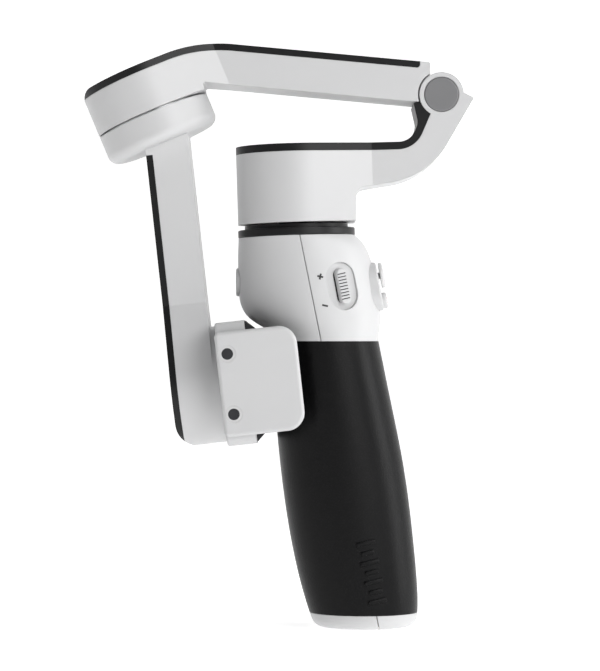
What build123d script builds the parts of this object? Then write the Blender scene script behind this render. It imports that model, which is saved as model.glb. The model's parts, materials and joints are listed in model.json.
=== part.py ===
"""Folding three-axis phone gimbal stabilizer, in its stowed pose, in millimetres.

+Z is up and the origin is the centre of the tripod thread in the base. Y = 0 is the plane of
symmetry of the arms. The three motor axes are named pan, roll and tilt, from the grip outwards.
"""
import os
from math import acos, cos, pi, radians, sin, tan

from build123d import *

os.makedirs("parts", exist_ok=True)

# ---- Fits and walls -------------------------------------------------------------------------
running_gap = 0.04      # radial clearance of a turning shaft in its bore
seam_gap = 0.10         # each shell edge stops this far from the parting plane
slide_gap = 0.20        # clearance around pieces that slide or press
turn_gap = 0.60         # axial gap between a fixed and a turning housing
wall = 2.0              # moulded wall of the handle

# ---- Motors, the same unit three times ------------------------------------------------------
can_r = 19.6            # outside of each motor housing
cavity_r = 17.6         # bore of each motor housing
motor_h = 12.6          # from the stator's seat to the rotor's mounting face
bell_r = 17.0
bell_wall = 1.4
bell_top = 2.4          # thickness of the rotor's disc
stator_r = 14.6
stator_low = 3.0
stator_h = 6.0
hub_r = 6.0
bearing_r = 5.0
bearing_h = 3.0
shaft_r = 2.0
slot_count = 12
tooth_w = 2.2
coil_w = 3.9

# ---- Axes of the arms -----------------------------------------------------------------------
pan_x, pan_z, pan_lean = -23.4, 133.0, 1.8
hinge_x, hinge_z = 25.0, 178.5
roll_x, roll_z, roll_lean = -71.9, 172.6, 22.8
tilt_x, tilt_z, tilt_lean = -48.8, 81.8, 6.3

# ---- Handle ---------------------------------------------------------------------------------
sleeve_t = 1.2          # rubber sleeve
sleeve_low, sleeve_high = 4.9, 96.2
base_round = 4.4
floor_top = 11.0        # top of the solid base that holds the tripod insert
parting_x, parting_lean = 4.2, 11.4
collar_h = 2.6
collar_step_r = 17.4
collar_step_h = 1.3
insert_r, insert_h = 5.0, 9.0
thread_r = 2.57         # minor radius of the 1/4 inch thread
screw_y, screw_low, screw_high = 12.0, 26.0, 84.0
screw_r, screw_head_r, screw_head_h, screw_seat, boss_r = 1.2, 2.1, 1.6, 3.2, 2.4
battery_r, battery_h = 9.2, 65.0
board_t, board_w, board_h = 1.6, 15.0, 62.0

# ---- Controls -------------------------------------------------------------------------------
slider_w, slider_h, slider_proud, slider_travel = 3.6, 12.0, 1.0, 1.8
dish_w, dish_h, dish_depth = 10.4, 16.0, 1.3
trigger_r, trigger_proud = 4.8, 0.8
pad_w, pad_h, pad_proud, pad_depth = 17.0, 16.4, 0.9, 7.0
stick_r, stick_up = 4.3, 3.5
record_r, record_up = 2.7, -5.0

# ---- Arms -----------------------------------------------------------------------------------
arm_half = 12.0         # half the width of each bar
trim_t = 2.2            # black trim plates
cap_h, cap_round = 10.4, 3.4
ear_r, ear_gap = 7.4, 0.5
knuckle_half, ear_side_gap = 7.4, 0.35
pin_r = 2.2
hinge_cap_r, hinge_cap_t = 5.76, 1.7

# ---- Clamp, in the tilt frame: u outwards from the tilt seam, v up ---------------------------
body_u, body_half, body_v = 9.8, 28.4, 20.4
back_wall, cover_t = 1.8, 1.8
back_pad_t, back_pad_half = 4.0, 19.0
jaw_u0, jaw_u1, jaw_v, jaw_t = 0.3, 27.0, 17.2, 4.0
jaw_y = body_half + 0.6  # inner face of a closed jaw
lip_u, lip_depth = 3.0, 4.6
jaw_pad_t = 1.2
jaw_travel = 15.0
gear_module, gear_teeth, pressure = 0.9, 12, 25.0
rack_u0, rack_u1, rack_back = 3.0, 8.0, 12.0
rod_r, rod_v = 1.0, 9.4
contact_u, contact_v, contact_r, contact_ring_r = 4.0, 9.9, 1.9, 2.7


# ---- Frames: local X and Z turned about Y ---------------------------------------------------
pan = Location((pan_x, 0, pan_z), (0, -pan_lean, 0))
roll = Location((roll_x, 0, roll_z), (0, -roll_lean, 0))
tilt = Location((tilt_x, 0, tilt_z), (0, -tilt_lean, 0))
parting = Location((parting_x, 0, 0), (0, -parting_lean, 0))
grip_axis = Location((-1.3, 0, 8.0), (0, -8.1, 0))
console = Location((3.7, 0, 114.6), (0, -10.3, 0))

pan_seat = pan * Pos(0, 0, collar_h - 1.6 + collar_step_h)
roll_seat = roll * Location((0, 0, motor_h - turn_gap), (180, 0, 0))
tilt_seat = tilt * Location((turn_gap - motor_h, 0, 0), (0, 90, 0))


def disc(radius, low, high):
    return Pos(0, 0, low) * Cylinder(radius, high - low, align=(Align.CENTER, Align.CENTER, Align.MIN))


def tube(outer, inner, low, high):
    return disc(outer, low, high) - disc(inner, low, high)


def block(x0, x1, y0, y1, z0, z1):
    centre = Pos((x0 + x1) / 2, (y0 + y1) / 2, (z0 + z1) / 2)
    return centre * Box(x1 - x0, y1 - y0, z1 - z0)


def side_prism(points, radii, half):
    """An outline in the X-Z plane, with a radius at each corner, extruded both ways in Y."""
    outline = make_face(FilletPolyline(*points, radius=radii, close=True))
    return extrude(Plane.XZ * outline, amount=half, both=True)


def y_disc(x, z, radius, y0, y1):
    """A cylinder along Y."""
    return Location((x, y0, z), (-90, 0, 0)) * disc(radius, 0, y1 - y0)


def racket(radius, neck_at, half, far):
    """Plan of an arm: a round motor housing at the origin that narrows to a bar along +X."""
    head = make_hull([*Circle(radius).edges(), *(Pos(neck_at, 0) * Circle(half)).edges()])
    return Sketch() + head + Pos((neck_at + far) / 2, 0) * Rectangle(far - neck_at, 2 * half)


def save(name, shape):
    export_step(shape, f"parts/{name}.step")


def group(pieces):
    return Compound(children=[s for piece in pieces for s in piece.solids()])


# ---- The motor unit: seat at z = 0, rotor face at z = motor_h ---------------------------------
def motor_stator():
    core = tube(8.2, hub_r, stator_low, stator_low + stator_h)
    for i in range(slot_count):
        tooth = block(7.8, stator_r - 1.0, -tooth_w / 2, tooth_w / 2, stator_low, stator_low + stator_h)
        tip = block(stator_r - 1.4, stator_r - 0.5, -2.6, 2.6, stator_low, stator_low + stator_h)
        core += Rot(0, 0, i * 360 / slot_count) * (tooth + tip)
    return core


def motor_coils():
    low, high = stator_low - 0.9, stator_low + stator_h + 0.9
    coil = block(8.5, stator_r - 1.5, -coil_w / 2, coil_w / 2, low, high)
    coil -= block(0, stator_r, -tooth_w / 2, tooth_w / 2, stator_low, stator_low + stator_h)
    return group([Rot(0, 0, i * 360 / slot_count) * coil for i in range(slot_count)])


def motor_rotor():
    bell = disc(bell_r, motor_h - bell_top, motor_h)
    bell += tube(bell_r, bell_r - bell_wall, stator_low, motor_h - bell_top)
    return bell + disc(shaft_r, 0.6, motor_h - bell_top)


def motor_bearings():
    ring = tube(bearing_r, shaft_r + running_gap, 0, bearing_h)
    return group([Pos(0, 0, 0.4) * ring, Pos(0, 0, stator_low + stator_h - bearing_h) * ring])


def motor_hub():
    """The tube on the motor's seat that carries the stator outside and the bearings inside."""
    return tube(hub_r, bearing_r, -0.5, stator_low + stator_h) + disc(hub_r, -0.5, 0.4)


def save_motor(name, seat):
    save(f"{name}_motor_stator", seat * motor_stator())
    save(f"{name}_motor_coils", seat * motor_coils())
    save(f"{name}_motor_rotor", seat * motor_rotor())
    save(f"{name}_motor_bearings", seat * motor_bearings())


# ---- Handle -----------------------------------------------------------------------------------
# Height, left edge, right edge and half depth of the handle's oval section.
grip_stations = [
    (0.0, -17.2, 16.9, 15.6),
    (16.0, -22.3, 17.2, 16.6),
    (32.0, -25.7, 15.7, 17.2),
    (48.0, -28.1, 13.7, 17.6),
    (64.0, -29.8, 10.9, 17.8),
    (80.0, -31.0, 7.6, 17.9),
    (sleeve_high, -32.0, 4.3, 18.0),
]
neck_stations = [
    (sleeve_high, -32.0, 4.3, 18.0),
    (101.0, -34.8, 4.7, 18.3),
    (106.0, -41.0, 4.8, 18.9),
    (111.0, -42.7, 4.3, 19.2),
    (116.0, -43.0, 3.5, 19.4),
    (121.0, -43.1, 2.4, 19.5),
    (126.5, -43.1, 0.6, 19.6),
]


def ovals(stations, inset):
    for height, left, right, depth in stations:
        oval = Ellipse((right - left) / 2 - inset, depth - inset)
        yield (Pos((left + right) / 2, 0, height) * oval).face()


def handle_form(inset):
    """The handle's outer form, drawn in by inset all round: the grip and the neck above it."""
    top = pan * Pos(0, 0, -1.6) * Circle(can_r - inset)
    neck = loft([*ovals(neck_stations, inset), top.face()])
    return loft(list(ovals(grip_stations, inset))) + neck


outer = handle_form(0)
outer = fillet(outer.edges().group_by(Axis.Z)[0], base_round)
sleeve_space = block(-60, 60, -40, 40, sleeve_low, sleeve_high)
core_form = handle_form(sleeve_t)
sleeve = (outer & sleeve_space) - core_form
sleeve = sleeve.solids().sort_by(SortBy.VOLUME)[-1]

cavity = handle_form(sleeve_t + wall) & block(-60, 60, -40, 40, floor_top, 127.0)
bosses = []
screws = []
screw_ways = []
for side in (-1, 1):
    for height in (screw_low, screw_high):
        spot = parting * Location((0, side * screw_y, height), (0, 90, 0))
        bosses.append(spot * disc(boss_r, -25, 25))
        screw_ways.append(spot * disc(screw_head_r + slide_gap, screw_seat, 30))
        screw_ways.append(spot * disc(screw_r, -9, screw_seat + 0.1))
        head = disc(screw_head_r, screw_seat, screw_seat + screw_head_h)
        screws.append(spot * (disc(screw_r, -9, screw_seat + 0.2) + head))
for boss in bosses:
    cavity -= boss

neck_normal = 25.0
slider_spot = (-8.0, -16.6, 114.5)
across = Vector(cos(radians(neck_normal)), sin(radians(neck_normal)), 0)
out = Vector(sin(radians(neck_normal)), -cos(radians(neck_normal)), 0)
slider_lean = 12.0
slider_x = across * cos(radians(slider_lean)) + Vector(0, 0, sin(radians(slider_lean)))
slider_frame = Plane(origin=slider_spot, x_dir=slider_x, z_dir=out).location

dish = slider_frame * extrude(SlotOverall(dish_h, dish_w, rotation=90), amount=12)
dish = Location(tuple(out * -dish_depth)) * dish
slot_h = slider_h / 2 + 2 * slider_travel
slider_slot = slider_frame * block(-1.2, 1.2, -slot_h / 2, slot_h / 2, -12, 1)
slider_low = -dish_depth + slide_gap
slider_cap = extrude(SlotOverall(slider_h, slider_w, rotation=90), amount=slider_proud - slider_low)
slider_cap = Pos(0, 0, slider_low) * slider_cap
slider_cap = fillet(slider_cap.edges().group_by(Axis.Z)[-1], 0.5)
for i in range(-4, 5):
    slider_cap -= block(-3, 3, i * 1.05 - 0.16, i * 1.05 + 0.16, slider_proud - 0.3, slider_proud + 1)
slider_stem = block(-1.0, 1.0, -slider_h / 4 + slide_gap, slider_h / 4 - slide_gap, -6.0, slider_low + 0.2)
zoom_slider = slider_frame * (slider_cap + slider_stem)

trigger_z = 116.1
trigger_face = -42.95
trigger_frame = Location((trigger_face, 0, trigger_z), (0, -90, 0))
trigger = fillet(disc(trigger_r, -4.0, trigger_proud).edges().group_by(Axis.Z)[-1], 0.6)
trigger = trigger_frame * (trigger + disc(trigger_r + 1.0, -6.4, -5.2) + disc(trigger_r - 0.6, -5.3, -3.9))
trigger_way = trigger_frame * (disc(trigger_r + slide_gap, -9, 5) + disc(trigger_r + 1.3, -11, -4.6))

pad_way = console * Location((-pad_depth, 0, 0), (0, 90, 0))
pad = extrude(RectangleRounded(pad_h, pad_w, 6.0), amount=pad_depth + pad_proud)
pad_hole = pad_way * pad
pad = fillet(pad.edges().group_by(Axis.Z)[-1], 0.6)
stick_frame = console * Location((0, 0, stick_up), (0, 90, 0))
record_frame = console * Location((0, 0, record_up), (0, 90, 0))
control_pad = pad_way * pad
control_pad -= stick_frame * disc(stick_r + 1.1, -5.4, 5)
control_pad -= record_frame * disc(record_r + slide_gap, -1.6, 5)

stick_ball = 1.6
stick_pivot = -3.4
stick_cap = fillet(disc(stick_r, 1.7, 3.0).edges().group_by(Axis.Z)[-1], 0.9)
stick_cap += disc(1.1, stick_pivot, 1.8) + Pos(0, 0, stick_pivot) * Sphere(stick_ball)
stick_cap -= Pos(0, 0, 5.9) * Sphere(3.4)
# The ring turns on two pins in the pad, and the ball turns on two pins in the ring.
stick_pin_r, stick_pin_reach, ring_half = 0.5, 2.6, 0.9
ring_axis = Location((0, 0, stick_pivot), (0, 90, 0))
ball_axis = Location((0, 0, stick_pivot), (90, 0, 0))
stick_ring = disc(stick_r, stick_pivot - ring_half, stick_pivot + ring_half)
stick_ring += ring_axis * disc(stick_pin_r, -stick_r - 0.3, stick_r + 0.3)
stick_ring -= disc(stick_ball + 0.1, stick_pivot - ring_half, stick_pivot + ring_half)
pin_way = stick_pin_reach + slide_gap
stick_ring -= ball_axis * disc(stick_pin_r + running_gap, -pin_way, pin_way)
stick_cap += ball_axis * disc(stick_pin_r, -stick_pin_reach, stick_pin_reach)
record = fillet(disc(record_r, -0.7, 2.6).edges().group_by(Axis.Z)[-1], 0.6)

port_z = 110.0
port_depth = 4.6
port_frame = Location((-19.0, 14.2, port_z), (-90, 0, 0))
port_form = extrude(SlotOverall(9.0, 3.3), amount=port_depth)
port = port_frame * (port_form - Pos(0, 0, 0.8) * extrude(SlotOverall(8.4, 2.6), amount=port_depth))
port_tongue = port_frame * block(-3.2, 3.2, -0.35, 0.35, 0.7, port_depth - 0.8)
port_way = port_frame * (port_form + Pos(0, 0, port_depth) * extrude(SlotOverall(11.0, 5.0), amount=8))

body = (outer - sleeve_space) + (core_form & block(-60, 60, -40, 40, sleeve_low - 0.5, sleeve_high + 0.5))
body -= cavity
for way in (dish, slider_slot, trigger_way, pad_hole, port_way, disc(insert_r, -1, insert_h), *screw_ways):
    body -= way
front_shell = body & (parting * block(-90, -seam_gap, -60, 60, -30, 160))
rear_shell = body & (parting * block(seam_gap, 90, -60, 60, -30, 160))
front_shell = front_shell.solids().sort_by(SortBy.VOLUME)[-1]
rear_shell = rear_shell.solids().sort_by(SortBy.VOLUME)[-1]

save("front_shell", front_shell)
save("rear_shell", rear_shell)
save("grip_sleeve", sleeve)
save("shell_screws", group(screws))
save("tripod_insert", tube(insert_r, thread_r, 0, insert_h))
battery = disc(battery_r, 0, battery_h) + disc(3.0, 0, battery_h + 0.8)
save("battery", grip_axis * Pos(-2.4, 0, 5.0) * battery)
save("main_board", grip_axis * block(8.6, 8.6 + board_t, -board_w / 2, board_w / 2, 6.0, 6.0 + board_h))
save("usb_port", port + port_tongue)
save("zoom_slider", zoom_slider)
save("trigger", trigger)
save("control_pad", control_pad)
save("joystick_ring", stick_frame * stick_ring)
save("joystick_cap", stick_frame * stick_cap)
save("record_button", record_frame * record)

collar = disc(can_r + 0.1, -1.6, collar_h - 1.6)
collar = fillet(collar.edges().group_by(Axis.Z)[-1] + collar.edges().group_by(Axis.Z)[0], 0.4)
collar += disc(collar_step_r, collar_h - 1.7, collar_h - 1.6 + collar_step_h)
collar = pan * collar + pan_seat * motor_hub()
save("collar_ring", collar)
save_motor("pan", pan_seat)

# ---- Pan arm ----------------------------------------------------------------------------------
pan_low = collar_h - 1.6 + collar_step_h + 0.5
pan_edge = pan_x - can_r - 2
white_top_left = (pan_edge, 158.7)
white_top_corner = (16.3, 160.3)
white_top_end = (21.2, 171.7)
arm_below = [(pan_edge, 130.0), (-3.7, 130.0), (-3.4, 147.3), (20.5, 151.1), (35.8, 177.4), (31.5, 179.5)]
arm_white = [*arm_below, (hinge_x, hinge_z), white_top_end, white_top_corner, white_top_left]
pan_side = side_prism(arm_white, [0, 0, 3.5, 26, 0.6, 0, 0, 0, 9.0, 0], 30)
trim_points = [white_top_left, white_top_corner, white_top_end, (hinge_x, hinge_z)]
trim_points += [(18.4, 175.7), (15.6, 175.7), (17.2, 168.9), (14.6, 162.8), (pan_edge, 161.3)]
pan_trim_side = side_prism(trim_points, [0, 9.0, 0, 0, 0, 0.4, 5.0, 6.0, 0], 30)

pan_plan = pan * Pos(0, 0, pan_low) * extrude(racket(can_r, 24.0, arm_half, 70.0), amount=60)
ears = y_disc(hinge_x, hinge_z, ear_r, -arm_half, arm_half)
slot_half = knuckle_half + ear_side_gap
slot = y_disc(hinge_x, hinge_z, ear_r + ear_gap, -slot_half, slot_half)
cap_recess = [
    y_disc(hinge_x, hinge_z, hinge_cap_r + 0.1, arm_half - hinge_cap_t, arm_half + 1),
    y_disc(hinge_x, hinge_z, hinge_cap_r + 0.1, -arm_half - 1, hinge_cap_t - arm_half),
]
rotor_face = collar_h - 1.6 + collar_step_h + motor_h
pan_cavity = pan * (disc(cavity_r, 0, rotor_face) + disc(15.5, rotor_face + 2.4, 40))
pan_channel = side_prism([(-12, 153.2), (8, 154.0), (14, 159.0), (14, 175), (-12, 175)], [0, 2, 1, 0, 0], 8)
pan_housing = ((pan_side & pan_plan) + ears) - slot - pan_cavity - (pan_channel & pan_plan)
pin_bore = y_disc(hinge_x, hinge_z, pin_r, -arm_half, arm_half)
pan_housing = pan_housing - pin_bore - cap_recess[0] - cap_recess[1]
pan_trim = (pan_trim_side & pan_plan) - ears - slot
hinge_pin_half = arm_half - hinge_cap_t
cap_shape = fillet(disc(hinge_cap_r, 0, hinge_cap_t + 0.1).edges().group_by(Axis.Z)[-1], 0.4)
hinge_caps = [
    Location((hinge_x, side * hinge_pin_half, hinge_z), (-90 * side, 0, 0)) * cap_shape
    for side in (-1, 1)
]
save("pan_arm_housing", pan_housing)
save("pan_arm_trim", pan_trim)
save("hinge_pin", y_disc(hinge_x, hinge_z, pin_r, -hinge_pin_half, hinge_pin_half))
save("hinge_caps", group(hinge_caps))

# ---- Fold arm ---------------------------------------------------------------------------------
fold_top = [(21.2, 189.2), (-56.1, 196.3), (-95.9, 179.2), (-89.9, 165.0), (-53.9, 180.1), (-54.7, 182.6)]
fold_side = side_prism([*fold_top, (16.2, 176.1), (21.2, 176.1)], [0.5, 45, 4, 0.5, 0, 0.8, 0, 0], 30)
# The roll housing's plan is seen along the roll axis, with the bar towards the hinge.
fold_plan = roll * Pos(0, 0, -60) * extrude(racket(can_r - 0.1, 26.0, arm_half, 140.0), amount=150)
below_seam = roll * block(-60, 60, -60, 60, -80, 0)
ear_clear = y_disc(hinge_x, hinge_z, ear_r + ear_gap, -30, 30)
knuckle = y_disc(hinge_x, hinge_z, ear_r, -knuckle_half, knuckle_half)
knuckle += block(12.0, hinge_x, -knuckle_half, knuckle_half, 176.6, 185.4)
trim_cut = [(17.8, 187.3), (-55.7, 194.0), (-97.5, 175.9), (-130, 175.9), (-130, 230), (17.8, 230)]
fold_trim_zone = side_prism(trim_cut, [1.1, 43, 0, 0, 0, 0], 30)
fold_form = (fold_side & fold_plan) - ear_clear
fold_form -= roll * block(-60, 20.5, -60, 60, -80, 0)
fold_cavity = roll * (disc(cavity_r, -5, motor_h - turn_gap) - disc(hub_r, -5, motor_h))
fold_channel = side_prism([(6, 181.0), (6, 200), (-48, 200), (-48, 186.0)], [2, 0, 0, 2], 8.5)
fold_housing = (fold_form - fold_trim_zone) + knuckle - fold_cavity - fold_channel
fold_housing += roll_seat * motor_hub()
fold_housing -= roll_seat * disc(bearing_r, 0.4, 30)
fold_housing -= roll * disc(hub_r + 1, -5, motor_h - turn_gap - stator_low - stator_h)
fold_housing -= y_disc(hinge_x, hinge_z, pin_r + running_gap, -arm_half, arm_half)
fold_trim = fold_form & fold_trim_zone
washer = y_disc(hinge_x, hinge_z, 5.6, 0, 0.2) - y_disc(hinge_x, hinge_z, pin_r + 0.1, -1, 1)
hinge_washers = [Pos(0, knuckle_half, 0) * washer, Pos(0, -knuckle_half - 0.2, 0) * washer]
save("fold_arm_housing", fold_housing)
save("fold_arm_trim", fold_trim)
save("hinge_washers", group(hinge_washers))
save_motor("roll", roll_seat)

# ---- Tilt arm ---------------------------------------------------------------------------------
bar_in, bar_out, trim_out, bar_top = -1.6, -14.0, -16.2, 100.0
trim_end = 78.5
arm_profile = [(bar_in, -can_r - 1), (bar_in, bar_top), (trim_out, bar_top), (trim_out, -can_r)]
front_plane = Plane(origin=(-30, 0, 0), x_dir=(0, 0, 1), z_dir=(1, 0, 0))
tilt_plan = front_plane.location * extrude(racket(can_r, 26.0, arm_half, 120.0), amount=60)
tilt_form = side_prism(arm_profile, [0, 0, 0, 8.0], 30) & tilt_plan
tilt_form += Location((bar_in - 0.2, 0, 0), (0, 90, 0)) * disc(can_r, 0, 0.2 - bar_in)
above_cap = roll * block(-60, 60, -60, 60, -4.0 - turn_gap, 60)
tilt_form = (tilt * tilt_form) - above_cap
trim_zone = tilt * block(-40, bar_out, -40, 40, -60, trim_end)
cap = disc(can_r - 0.1, -turn_gap - cap_h, -turn_gap)
cap = roll * fillet(cap.edges().group_by(Axis.Z)[0], cap_round)
tilt_housing = (tilt_form - trim_zone) + cap
tilt_housing -= tilt_seat * disc(cavity_r, 0, 40)
tilt_housing -= tilt * block(bar_out - 0.01, -5.0, -8, 8, 24.0, 70.0)
tilt_housing += tilt_seat * motor_hub()
tilt_housing -= tilt_seat * disc(bearing_r, 0.4, 30)
tilt_trim = (tilt_form & trim_zone) - cap
save("tilt_arm_housing", tilt_housing)
save("tilt_arm_trim", tilt_trim)
save_motor("tilt", tilt_seat)

# ---- Clamp, drawn in the tilt frame: X = u, Z = v -----------------------------------------------
body_u1 = turn_gap + body_u
cavity_u0 = turn_gap + back_wall
cover_u0 = body_u1 - cover_t
clamp_body = block(turn_gap, body_u1, -body_half, body_half, -body_v, body_v)
clamp_body = fillet(clamp_body.edges().filter_by(Axis.X), 4.0)
clamp_body = fillet(clamp_body.faces().sort_by(Axis.X)[0].edges(), 0.8)
clamp_body -= block(cavity_u0, body_u1, -21.5, 21.5, -14.0, 14.0)
cover_half, cover_v = 25.8, 15.8
cover_y, cover_z = cover_half + 0.1, cover_v + 0.1
clamp_body -= block(cover_u0, body_u1 + 1, -cover_y, cover_y, -cover_z, cover_z)

pitch_r = gear_module * gear_teeth / 2
addendum, dedendum, backlash = 0.8 * gear_module, gear_module, 0.07
way_low, way_high = pitch_r - addendum - slide_gap, rack_back + slide_gap
tongue_way = block(rack_u0 - slide_gap, rack_u1 + slide_gap, -40, -21, way_low, way_high)
rod_u = (rack_u0 + rack_u1) / 2
rod_half = body_half - 1.0
rod = y_disc(rod_u, rod_v, rod_r, -rod_half, rod_half)
half_turn = Rot(180, 0, 0)
cover_screw_r, cover_head_r, cover_head_h = 0.9, 1.8, 1.0
cover_screw_u0 = cavity_u0 + 1.0
cover_screw_h = body_u1 - cover_screw_u0
cover_spots = [(-23.4, 13.4), (-23.4, -5.8)]
cover = block(cover_u0, body_u1, -cover_half, cover_half, -cover_v, cover_v)
cover_screws = []
for spot_y, spot_v in cover_spots:
    spot = Location((cover_screw_u0, spot_y, spot_v), (0, 90, 0))
    head = disc(cover_head_r, cover_screw_h - cover_head_h, cover_screw_h)
    screw = spot * (disc(cover_screw_r, 0, cover_screw_h) + head)
    cover_screws += [screw, half_turn * screw]
for screw in cover_screws:
    cover -= screw
    clamp_body -= screw
for turn in (Rot(0, 0, 0), half_turn):
    clamp_body -= turn * tongue_way
    clamp_body -= turn * rod
gear_pin_r = 1.2
pinion_u0, pinion_u1 = rack_u0 + 0.2, rack_u1 - 0.2
gear_pin = Location((cavity_u0, 0, 0), (0, 90, 0)) * disc(gear_pin_r, 0, cover_u0 - cavity_u0)

slope = body_v - 3.9
back_pad_u1 = body_u1 + back_pad_t
back_pad = [(body_u1, body_v - 0.2), (body_u1, 0.2 - body_v), (back_pad_u1, -slope), (back_pad_u1, slope)]
back_pad = side_prism(back_pad, [0, 0, 1.2, 1.2], back_pad_half)


def flank(radius):
    """Half angle of a pinion tooth at a radius, from the involute of the base circle."""
    base = pitch_r * cos(radians(pressure))
    at_pitch = tan(radians(pressure)) - radians(pressure)
    angle = acos(min(1, base / radius))
    return pi / (2 * gear_teeth) - backlash / pitch_r + at_pitch - (tan(angle) - angle)


def pinion_outline():
    root, tip = pitch_r - dedendum, pitch_r + addendum
    points = []
    for i in range(gear_teeth):
        middle = (i + 0.5) * 2 * pi / gear_teeth
        steps = [root + (tip - root) * k / 4 for k in range(5)]
        rising = [(radius, middle - flank(radius)) for radius in steps]
        falling = [(radius, middle + flank(radius)) for radius in reversed(steps)]
        points += [(radius * cos(a), radius * sin(a)) for radius, a in rising + falling]
    return make_face(Polyline(*points, close=True))


def rack_tooth(y):
    slant = tan(radians(pressure))
    at_pitch = pi * gear_module / 4 - backlash
    tip = (pitch_r - addendum, at_pitch - addendum * slant)
    root = (pitch_r + dedendum + 0.2, at_pitch + (dedendum + 0.2) * slant)
    points = [(y - tip[1], tip[0]), (y + tip[1], tip[0]), (y + root[1], root[0]), (y - root[1], root[0])]
    return extrude(Plane.YZ * make_face(Polyline(*points, close=True)), amount=rack_u1 - rack_u0)


pinion = extrude(Plane.YZ * pinion_outline(), amount=pinion_u1 - pinion_u0)
pinion = Pos(pinion_u0, 0, 0) * pinion
pinion -= Location((0, 0, 0), (0, 90, 0)) * disc(gear_pin_r + running_gap, -1, 20)

spring_w, spring_low, spring_high = 0.25, cavity_u0 + 0.1, rack_u0 - 0.1
spiral_turns, spiral_pitch = 5, 0.62
spiral = [k * pi / 12 for k in range(24 * spiral_turns + 1)]
spiral = [(gear_pin_r + 0.35 + spiral_pitch * a / (2 * pi), a) for a in spiral]
spiral_out = [((r + spring_w) * cos(a), (r + spring_w) * sin(a)) for r, a in spiral]
spiral_in = [(r * cos(a), r * sin(a)) for r, a in reversed(spiral)]
spring_face = make_face(Polyline(*spiral_out, *spiral_in, close=True))
spring = Pos(spring_low, 0, 0) * extrude(Plane.YZ * spring_face, amount=spring_high - spring_low)

plate_points = [(jaw_u0, -jaw_v), (jaw_u1, -jaw_v), (jaw_u1, jaw_v), (jaw_u0, jaw_v)]
jaw_outline = side_prism(plate_points, [1.5, 6.0, 6.0, 1.5], 40)
plate = jaw_outline & block(-10, 40, -jaw_y - jaw_t, -jaw_y, -30, 30)
plate = fillet(plate.faces().sort_by(Axis.Y)[0].edges(), 1.2)
lip = jaw_outline & block(jaw_u1 - lip_u, 40, -jaw_y - 1.3, lip_depth - jaw_y, -30, 30)
tongue = block(rack_u0, rack_u1, -jaw_y - 1, jaw_travel + 2, pitch_r + dedendum, rack_back)
jaw = plate + lip + tongue
rack_pitch = pi * gear_module
for k in range(-1, int(jaw_travel / rack_pitch) + 1):
    jaw += rack_tooth(k * rack_pitch).moved(Pos(rack_u0, 0, 0))
jaw -= y_disc(rod_u, rod_v, rod_r + running_gap, -rod_half - slide_gap, 40)
jaw_pad = block(11.5, jaw_u1 - lip_u - 0.3, -jaw_y, jaw_pad_t - jaw_y, -13.5, 13.5)
jaw_pad = fillet(jaw_pad.edges().filter_by(Axis.Y), 2.0)

contact_face = -jaw_y - jaw_t
front_jaw = jaw
contacts = []
contact_rings = []
for v in (-contact_v, contact_v):
    front_jaw -= y_disc(contact_u, v, contact_ring_r, contact_face - 1, contact_face + 0.8)
    contacts.append(y_disc(contact_u, v, contact_r, contact_face + 0.1, contact_face + 0.8))
    ring = y_disc(contact_u, v, contact_ring_r, contact_face, contact_face + 0.8)
    contact_rings.append(ring - y_disc(contact_u, v, contact_r, contact_face - 1, contact_face + 2))

save("clamp_body", tilt * clamp_body)
save("clamp_cover", tilt * cover)
save("clamp_back_pad", tilt * back_pad)
save("clamp_screws", tilt * group(cover_screws))
save("guide_rods", tilt * group([rod, half_turn * rod]))
save("gear_pin", tilt * gear_pin)
save("clamp_spring", tilt * spring)
save("clamp_pinion", tilt * pinion)
save("front_jaw", tilt * front_jaw)
save("front_jaw_pad", tilt * jaw_pad)
save("light_contacts", tilt * group(contacts))
save("contact_rings", tilt * group(contact_rings))
save("rear_jaw", tilt * half_turn * jaw)
save("rear_jaw_pad", tilt * half_turn * jaw_pad)
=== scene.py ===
"""A folding three-axis phone gimbal: its finishes, moulded details and studio. Metres."""
import json
from math import cos, pi, radians, sin

import bmesh
import bpy
from mathutils import Matrix, Vector


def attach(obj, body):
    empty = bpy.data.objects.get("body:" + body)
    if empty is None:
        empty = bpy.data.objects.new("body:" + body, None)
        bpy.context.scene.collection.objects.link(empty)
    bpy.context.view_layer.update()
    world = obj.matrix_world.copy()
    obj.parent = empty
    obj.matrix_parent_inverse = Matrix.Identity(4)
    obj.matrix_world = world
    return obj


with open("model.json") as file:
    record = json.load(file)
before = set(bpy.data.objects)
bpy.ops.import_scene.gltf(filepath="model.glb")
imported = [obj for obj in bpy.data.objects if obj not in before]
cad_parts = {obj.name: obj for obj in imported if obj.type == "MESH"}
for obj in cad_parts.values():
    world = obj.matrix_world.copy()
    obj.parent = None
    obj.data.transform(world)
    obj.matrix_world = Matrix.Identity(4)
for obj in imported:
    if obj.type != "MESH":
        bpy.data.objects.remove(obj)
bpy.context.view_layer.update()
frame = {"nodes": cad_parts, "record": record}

MM = 0.001


# ---- Shader maths -------------------------------------------------------------------------------
class Wire:
    """A shader socket with arithmetic: each operator adds a Math node."""

    def __init__(self, tree, socket):
        self.tree, self.socket = tree, socket

    def maths(self, operation, *values, clamp=False):
        return self.tree.node("ShaderNodeMath", {"operation": operation, "use_clamp": clamp}, values)

    def __add__(self, other):
        return self.maths("ADD", self, other)

    def __radd__(self, other):
        return self.maths("ADD", other, self)

    def __sub__(self, other):
        return self.maths("SUBTRACT", self, other)

    def __rsub__(self, other):
        return self.maths("SUBTRACT", other, self)

    def __mul__(self, other):
        return self.maths("MULTIPLY", self, other)

    def __rmul__(self, other):
        return self.maths("MULTIPLY", other, self)

    def clamped(self):
        return self.maths("ADD", self, 0.0, clamp=True)


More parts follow.
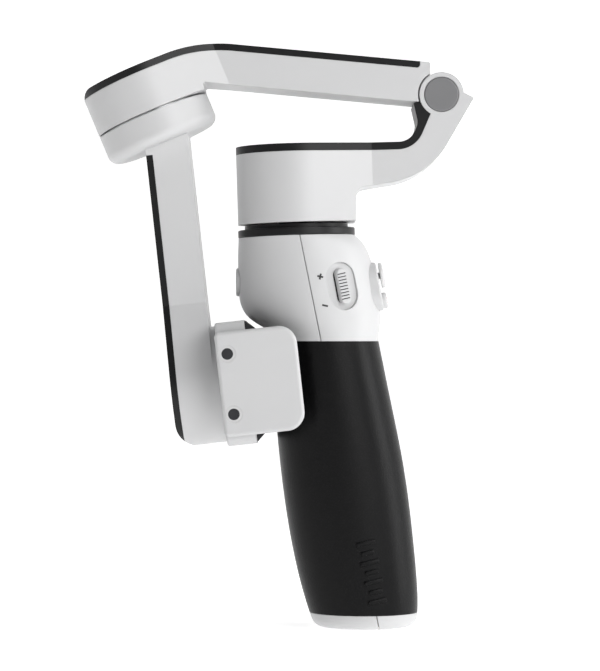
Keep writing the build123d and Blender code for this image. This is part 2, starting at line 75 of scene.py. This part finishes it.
class Finish:
    """One material: its nodes, and the shader that they feed."""

    def __init__(self, name, base, roughness, metallic=0.0, **fixed):
        self.material = bpy.data.materials.new(name)
        self.material.use_nodes = True
        self.nodes = self.material.node_tree.nodes
        self.links = self.material.node_tree.links
        self.shader = self.nodes["Principled BSDF"]
        self.set("Base Color", (*base, 1.0))
        self.set("Roughness", roughness)
        self.set("Metallic", metallic)
        for key, value in fixed.items():
            self.set(key.replace("_", " "), value)
        coordinates = self.nodes.new("ShaderNodeTexCoord")
        self.place = Wire(self, coordinates.outputs["Object"])

    def node(self, kind, settings, values, out=0):
        made = self.nodes.new(kind)
        for key, value in settings.items():
            setattr(made, key, value)
        pairs = values.items() if isinstance(values, dict) else enumerate(values)
        for key, value in pairs:
            if isinstance(value, Wire):
                self.links.new(value.socket, made.inputs[key])
            else:
                made.inputs[key].default_value = value
        return Wire(self, made.outputs[out])

    def set(self, name, value):
        if isinstance(value, Wire):
            self.links.new(value.socket, self.shader.inputs[name])
        else:
            self.shader.inputs[name].default_value = value

    def noise(self, scale, detail=3.0, rough=0.5, stretch=None):
        place = self.place
        if stretch:
            place = self.node("ShaderNodeMapping", {}, {"Vector": place, "Scale": stretch})
        values = {"Vector": place, "Scale": scale, "Detail": detail, "Roughness": rough}
        return self.node("ShaderNodeTexNoise", {}, values)

    def cells(self, scale):
        values = {"Vector": self.place, "Scale": scale}
        return self.node("ShaderNodeTexVoronoi", {"feature": "DISTANCE_TO_EDGE"}, values)

    def mix(self, factor, low, high):
        values = {0: factor, 6: (*low, 1.0), 7: (*high, 1.0)}
        return self.node("ShaderNodeMix", {"data_type": "RGBA"}, values, out=2)

    def bump(self, height, strength, distance, edge=0.0):
        values = {"Strength": strength, "Distance": distance, "Height": height}
        if edge:
            values["Normal"] = self.node("ShaderNodeBevel", {"samples": 4}, {"Radius": edge})
        self.set("Normal", self.node("ShaderNodeBump", {}, values))


def satin_shell():
    """Satin moulded housing: fine spark-eroded grain, faint cloudiness and handling smudges."""
    made = Finish("satin_shell", (0.60, 0.60, 0.605), 0.44, Coat_Roughness=0.3, IOR=1.48)
    cloud = made.noise(22.0, 4.0)
    smudge = (made.noise(70.0, 5.0, 0.62) * 1.6 - 0.5).clamped()
    made.set("Base Color", made.mix(cloud, (0.575, 0.577, 0.585), (0.625, 0.625, 0.627)))
    made.set("Roughness", 0.40 + smudge * 0.09)
    made.bump(made.noise(5200.0, 2.0) + 0.5 * made.noise(1900.0, 2.0), 0.10, 0.00006, edge=0.0005)
    return made.material


def black_trim():
    """Black trim plates: satin with a brushed drag along X and dust in the grain."""
    made = Finish("black_trim", (0.006, 0.006, 0.0065), 0.38, Specular_IOR_Level=0.3)
    drag = made.noise(900.0, 3.0, 0.6, stretch=(0.12, 1.0, 1.0))
    dust = made.noise(160.0, 6.0, 0.7)
    made.set("Base Color", made.mix(dust, (0.004, 0.004, 0.0045), (0.009, 0.009, 0.0095)))
    made.set("Roughness", 0.33 + drag * 0.14)
    made.bump(drag, 0.12, 0.00004)
    return made.material


def grip_rubber():
    """Leather-grained grip rubber: small rounded cells with polished tops."""
    made = Finish("grip_rubber", (0.014, 0.014, 0.015), 0.5, Specular_IOR_Level=0.17)
    grain = (made.cells(1150.0) * 3.2).clamped()
    fine = made.noise(2600.0, 3.0)
    wear = (made.noise(28.0, 4.0) * 1.7 - 0.45).clamped()
    made.set("Base Color", made.mix(grain, (0.0015, 0.0015, 0.0018), (0.0035, 0.0035, 0.0038)))
    made.set("Roughness", 0.43 - wear * 0.10 - grain * 0.06)
    made.bump(grain + 0.35 * fine, 0.22, 0.00008, edge=0.0006)
    return made.material


def soft_black():
    """Matt rubber of the clamp pads, with a powdery bloom."""
    made = Finish("soft_black", (0.016, 0.016, 0.017), 0.7)
    bloom = made.noise(240.0, 5.0, 0.65)
    made.set("Base Color", made.mix(bloom, (0.011, 0.011, 0.012), (0.026, 0.026, 0.027)))
    made.set("Roughness", 0.62 + bloom * 0.16)
    made.bump(made.noise(3400.0, 3.0), 0.25, 0.00008)
    return made.material


def hinge_grey():
    """Grey hinge cap: lacquered, with fine flecks and faint cloudiness."""
    made = Finish("hinge_grey", (0.19, 0.19, 0.195), 0.36, IOR=1.5)
    fleck = made.noise(3000.0, 2.0)
    cloud = made.noise(90.0, 3.0)
    made.set("Base Color", made.mix(cloud, (0.175, 0.175, 0.18), (0.205, 0.205, 0.21)))
    made.set("Roughness", 0.32 + fleck * 0.10)
    made.bump(fleck, 0.08, 0.00004)
    return made.material


def gloss_white():
    """Gloss moulding of the joystick and buttons, slightly orange-peeled."""
    made = Finish("gloss_white", (0.62, 0.62, 0.625), 0.2, IOR=1.5)
    peel = made.noise(420.0, 2.0)
    made.set("Base Color", made.mix(peel, (0.58, 0.58, 0.585), (0.66, 0.66, 0.66)))
    made.set("Roughness", 0.16 + peel * 0.1)
    made.bump(peel, 0.1, 0.00005)
    return made.material


def record_red():
    """The lacquered red dot on the record button."""
    made = Finish("record_red", (0.5, 0.03, 0.03), 0.3)
    peel = made.noise(900.0, 3.0)
    made.set("Base Color", made.mix(peel, (0.42, 0.022, 0.02), (0.56, 0.04, 0.035)))
    made.bump(peel, 0.1, 0.00003)
    return made.material


def metal(name, dark, light, roughness, stretch, scale=1400.0):
    """Machined metal: fine tool lines and small changes of shade."""
    made = Finish(name, light, roughness, metallic=1.0)
    lines = made.noise(scale, 3.0, 0.6, stretch=stretch)
    shade = made.noise(130.0, 4.0)
    made.set("Base Color", made.mix(shade, dark, light))
    made.set("Roughness", roughness - 0.06 + lines * 0.14)
    made.bump(lines, 0.14, 0.00003)
    return made.material


def copper_wire():
    """Enamelled winding: rows of fine wire."""
    made = Finish("copper_wire", (0.62, 0.25, 0.10), 0.3, metallic=0.85)
    values = {"Vector": made.place, "Scale": 1100.0}
    rows = made.node("ShaderNodeTexWave", {"bands_direction": "Z"}, values)
    tone = made.noise(200.0, 3.0)
    made.set("Base Color", made.mix(tone, (0.46, 0.16, 0.06), (0.68, 0.30, 0.12)))
    made.bump(rows, 0.5, 0.0001)
    return made.material


def board_mask():
    """Green solder mask over faint copper tracks."""
    made = Finish("board_mask", (0.01, 0.10, 0.04), 0.35)
    tracks = made.node("ShaderNodeTexBrick", {}, {"Vector": made.place, "Scale": 260.0}, out=1)
    made.set("Base Color", made.mix(tracks, (0.008, 0.085, 0.035), (0.02, 0.16, 0.065)))
    made.bump(tracks, 0.2, 0.00005)
    return made.material


def cell_wrap():
    """Shrink-wrapped battery cell."""
    made = Finish("cell_wrap", (0.02, 0.10, 0.16), 0.3)
    wrinkle = made.noise(120.0, 4.0, 0.6, stretch=(1.0, 1.0, 0.3))
    made.set("Base Color", made.mix(wrinkle, (0.015, 0.08, 0.13), (0.03, 0.13, 0.2)))
    made.bump(wrinkle, 0.3, 0.0002)
    return made.material


def mark_ink():
    """Pad-printed ink, slightly broken by the grain below it."""
    tone = 0.05
    made = Finish("mark_ink", (tone, tone, tone), 0.55)
    grain = made.noise(2600.0, 3.0)
    made.set("Base Color", made.mix(grain, (tone * 0.85,) * 3, (tone * 1.2,) * 3))
    made.set("Roughness", 0.5 + grain * 0.12)
    return made.material


finishes = {
    "white_plastic": satin_shell(),
    "black_plastic": black_trim(),
    "grip_rubber": grip_rubber(),
    "black_rubber": soft_black(),
    "grey_cap": hinge_grey(),
    "control_white": gloss_white(),
    "red_mark_button": gloss_white(),
    "steel": metal("turned_steel", (0.42, 0.42, 0.43), (0.6, 0.6, 0.61), 0.3, (1, 0.1, 1)),
    "brass": metal("turned_brass", (0.5, 0.34, 0.13), (0.72, 0.52, 0.24), 0.3, (1, 1, 0.1)),
    "motor_steel": metal(
        "laminated_steel", (0.2, 0.2, 0.21), (0.34, 0.34, 0.35), 0.45, (0.1, 0.1, 1), 2600.0
    ),
    "copper_coils": copper_wire(),
    "battery_wrap": cell_wrap(),
    "circuit_board": board_mask(),
    "contact_dark": metal(
        "contact_nickel", (0.045, 0.045, 0.05), (0.085, 0.085, 0.09), 0.34, (1, 1, 0.2)
    ),
    "contact_light": gloss_white(),
}
slot_of = {part["node"]: part["material_slot"] for part in frame["record"]["subparts"]}
for name, piece in frame["nodes"].items():
    piece.data.materials.clear()
    piece.data.materials.append(finishes[slot_of[name]])


# ---- Mesh helpers -------------------------------------------------------------------------------
SHARP_ANGLE = radians(35.0)


def finish_piece(name, work, finish, body):
    """Makes an object of a bmesh whose place is already in its mesh, and rides it on a body."""
    bmesh.ops.remove_doubles(work, verts=work.verts, dist=1e-6)
    bmesh.ops.recalc_face_normals(work, faces=work.faces)
    mesh = bpy.data.meshes.new(name)
    work.to_mesh(mesh)
    work.free()
    mesh.materials.append(finish)
    mesh.shade_smooth()
    mesh.set_sharp_from_angle(angle=SHARP_ANGLE)
    piece = bpy.data.objects.new(name, mesh)
    bpy.context.scene.collection.objects.link(piece)
    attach(piece, body)


def thicken(work, height):
    """Raises the flat faces of a bmesh along Z into a plate."""
    grown = bmesh.ops.extrude_face_region(work, geom=work.faces[:])["geom"]
    top = [item for item in grown if isinstance(item, bmesh.types.BMVert)]
    bmesh.ops.translate(work, vec=(0, 0, height * MM), verts=top)


def bar_shape(work, length, width, height, bevel, place):
    """A bar with rounded edges, along the local Y, standing out along the local Z."""
    corners = bmesh.ops.create_cube(work, size=1.0)["verts"]
    bmesh.ops.scale(work, vec=(width * MM, length * MM, height * MM), verts=corners)
    edges = list({edge for corner in corners for edge in corner.link_edges})
    rounded = bmesh.ops.bevel(
        work, geom=edges, offset=bevel * MM, segments=3, profile=0.5, affect="EDGES", material=-1
    )["verts"]
    left = [corner for corner in corners if corner.is_valid]
    bmesh.ops.transform(work, matrix=place, verts=list({*rounded, *left}))


def on_skin(x, z):
    """A frame on the handle's -Y skin at (x, z) mm, its Z pointing out of the skin."""
    graph = bpy.context.evaluated_depsgraph_get()
    start = Vector((x * MM, -0.08, z * MM))
    _, spot, normal, *_ = bpy.context.scene.ray_cast(graph, start, Vector((0, 1, 0)))
    up = Vector((0, 0, 1))
    right = up.cross(normal).normalized()
    turn = Matrix((right, normal.cross(right), normal)).transposed().to_4x4()
    return Matrix.Translation(spot) @ turn


# ---- Details of the handle ----------------------------------------------------------------------
SLIDER_LEAN = 12.0


def slider_marks():
    """The printed plus and minus beside the zoom slider."""
    marks = {
        "zoom_plus_mark": (-15.5, 117.6, (0.0, 90.0)),
        "zoom_minus_mark": (-13.9, 108.0, (90.0,)),
    }
    printed = mark_ink()
    for name, (x, z, turns) in marks.items():
        surface = on_skin(x, z)
        work = bmesh.new()
        for turn in turns:
            place = surface @ Matrix.Rotation(radians(turn - SLIDER_LEAN), 4, "Z")
            bar_shape(work, 2.0, 0.62, 0.10, 0.02, place)
        finish_piece(name, work, printed, "handle")


def slider_frame():
    """The zoom slider's own frame: X across it, Y along it and Z out of the neck."""
    aside, lean = radians(25.0), radians(SLIDER_LEAN)
    out = Vector((sin(aside), -cos(aside), 0))
    across = Vector((cos(aside) * cos(lean), sin(aside) * cos(lean), sin(lean)))
    turn = Matrix((across, out.cross(across), out)).transposed().to_4x4()
    return Matrix.Translation((-8.0 * MM, -16.6 * MM, 114.5 * MM)) @ turn


def slider_groove_shade():
    """Dark strips in the grooves across the slider's cap: painted shade where the grooves lie in
    shadow.
    """
    work = bmesh.new()
    pitch, groove_floor = 1.05 * MM, 0.73 * MM
    for row in range(-4, 5):
        place = slider_frame() @ Matrix.Translation((0, row * pitch, groove_floor))
        bar_shape(work, 0.28, 2.9, 0.08, 0.02, place)
    # painted shade: the black strips darken the grooves as their shadow would
    finish_piece("slider_groove_painted_shade", work, finishes["black_plastic"], "zoom_slider")


def slider_shade_ring():
    """A black ring that slides with the cap, just above the dish's floor: painted shade round the
    slider, shaped like a dust shield.
    """
    work = bmesh.new()
    half_length, dish_floor = 3.6 * MM, -1.26 * MM
    rim = bmesh.ops.create_circle(work, cap_ends=True, segments=48, radius=2.25 * MM)["verts"]
    for half in (1, -1):
        end = [vert for vert in rim if vert.co.y * half > 1e-7]
        bmesh.ops.translate(work, vec=(0, half * half_length, 0), verts=end)
    thicken(work, 0.12)
    place = slider_frame() @ Matrix.Translation((0, 0, dish_floor))
    bmesh.ops.transform(work, matrix=place, verts=work.verts)
    # painted shade: the black ring darkens the gap round the slider in its dish
    finish_piece("slider_painted_shade_ring", work, finishes["black_rubber"], "zoom_slider")


def grip_emboss():
    """A generic emboss low on the grip: a short column of raised bars along the grip's lean."""
    work = bmesh.new()
    count, grip_lean = 7, 12.0
    for i in range(count):
        share = i / (count - 1)
        x = -0.4 + 3.9 * share
        z = 29.2 - 19.4 * share
        long = 4.6 if i % 2 else 6.4
        place = on_skin(x, z) @ Matrix.Rotation(radians(90.0 + grip_lean), 4, "Z")
        bar_shape(work, long, 1.5, 1.1, 0.3, place)
    finish_piece("grip_emboss", work, finishes["grip_rubber"], "handle")


def record_dot():
    """The red dot in the face of the record button."""
    console = Matrix.Translation((3.7 * MM, 0, 114.6 * MM)) @ Matrix.Rotation(-radians(10.3), 4, "Y")
    place = console @ Matrix.Translation((2.60 * MM, 0, -5.0 * MM))
    place = place @ Matrix.Rotation(radians(90), 4, "Y")
    work = bmesh.new()
    bmesh.ops.create_circle(work, cap_ends=True, segments=32, radius=1.1 * MM)
    thicken(work, 0.08)
    bmesh.ops.transform(work, matrix=place, verts=work.verts)
    finish_piece("record_dot", work, record_red(), "record_button")


slider_marks()
slider_groove_shade()
slider_shade_ring()
grip_emboss()
record_dot()


# ---- Studio -------------------------------------------------------------------------------------
def studio_paper():
    """White paper that glows a little, so that it stays clean white behind the object."""
    made = Finish("studio_paper", (0.92, 0.92, 0.92), 0.9)
    fibre = made.noise(9.0, 3.0)
    made.set("Base Color", made.mix(fibre, (0.915, 0.915, 0.915), (0.925, 0.925, 0.925)))
    made.set("Emission Color", (1.0, 1.0, 1.0, 1.0))
    made.set("Emission Strength", 0.56)
    return made.material


def studio_sweep():
    """Pale paper: a floor that curves up into a wall behind the object."""
    work = bmesh.new()
    half_width, back, bend, wall_top, below = 9.0, 0.9, 0.6, 3.0, 0.0006
    turns = [k * pi / 24 for k in range(1, 13)]
    rows = [(-half_width, 0.0), (back, 0.0)]
    rows += [(back + bend * sin(turn), bend - bend * cos(turn)) for turn in turns]
    rows += [(back + bend, wall_top)]
    start = [work.verts.new((-half_width, y, z - below)) for y, z in rows]
    for low, high in zip(start, start[1:]):
        work.edges.new((low, high))
    grown = bmesh.ops.extrude_edge_only(work, edges=work.edges[:])["geom"]
    moved = [item for item in grown if isinstance(item, bmesh.types.BMVert)]
    bmesh.ops.translate(work, vec=(2 * half_width, 0, 0), verts=moved)
    mesh = bpy.data.meshes.new("studio_sweep")
    work.to_mesh(mesh)
    work.free()
    mesh.materials.append(studio_paper())
    mesh.shade_smooth()
    sweep = bpy.data.objects.new("studio_sweep", mesh)
    bpy.context.scene.collection.objects.link(sweep)


def soft_box(name, place, aim, width, height, power):
    light = bpy.data.lights.new(name, "AREA")
    light.shape = "RECTANGLE"
    light.size, light.size_y, light.energy = width, height, power
    lamp = bpy.data.objects.new(name, light)
    lamp.location = place
    lamp.rotation_euler = (Vector(aim) - Vector(place)).to_track_quat("-Z", "Y").to_euler()
    bpy.context.scene.collection.objects.link(lamp)


def studio():
    studio_sweep()
    middle = (-0.02, 0.0, 0.1)
    soft_box("key_light", (0.70, -1.05, 0.62), middle, 0.8, 0.8, 9.6)
    soft_box("side_light", (1.1, -0.1, 0.35), middle, 0.4, 0.9, 5.6)
    soft_box("top_light", (0.1, -0.1, 1.3), middle, 0.7, 0.7, 3.2)
    world = bpy.data.worlds.new("studio_air")
    bpy.context.scene.world = world
    world.use_nodes = True
    world.node_tree.nodes["Background"].inputs["Color"].default_value = (1.0, 1.0, 1.0, 1.0)
    world.node_tree.nodes["Background"].inputs["Strength"].default_value = 0.07


def camera():
    lens = bpy.data.cameras.new("camera")
    lens.sensor_fit = "VERTICAL"
    lens.sensor_height = 36.0
    lens.sensor_width = 36.0
    lens.lens = 151.0
    lens.clip_start = 0.01
    holder = bpy.data.objects.new("camera", lens)
    holder.location = (-0.0222, -0.95, 0.0981)
    holder.rotation_euler = (radians(90), 0, 0)
    bpy.context.scene.collection.objects.link(holder)
    bpy.context.scene.camera = holder


studio()
camera()
bpy.context.scene.view_settings.view_transform = "Standard"
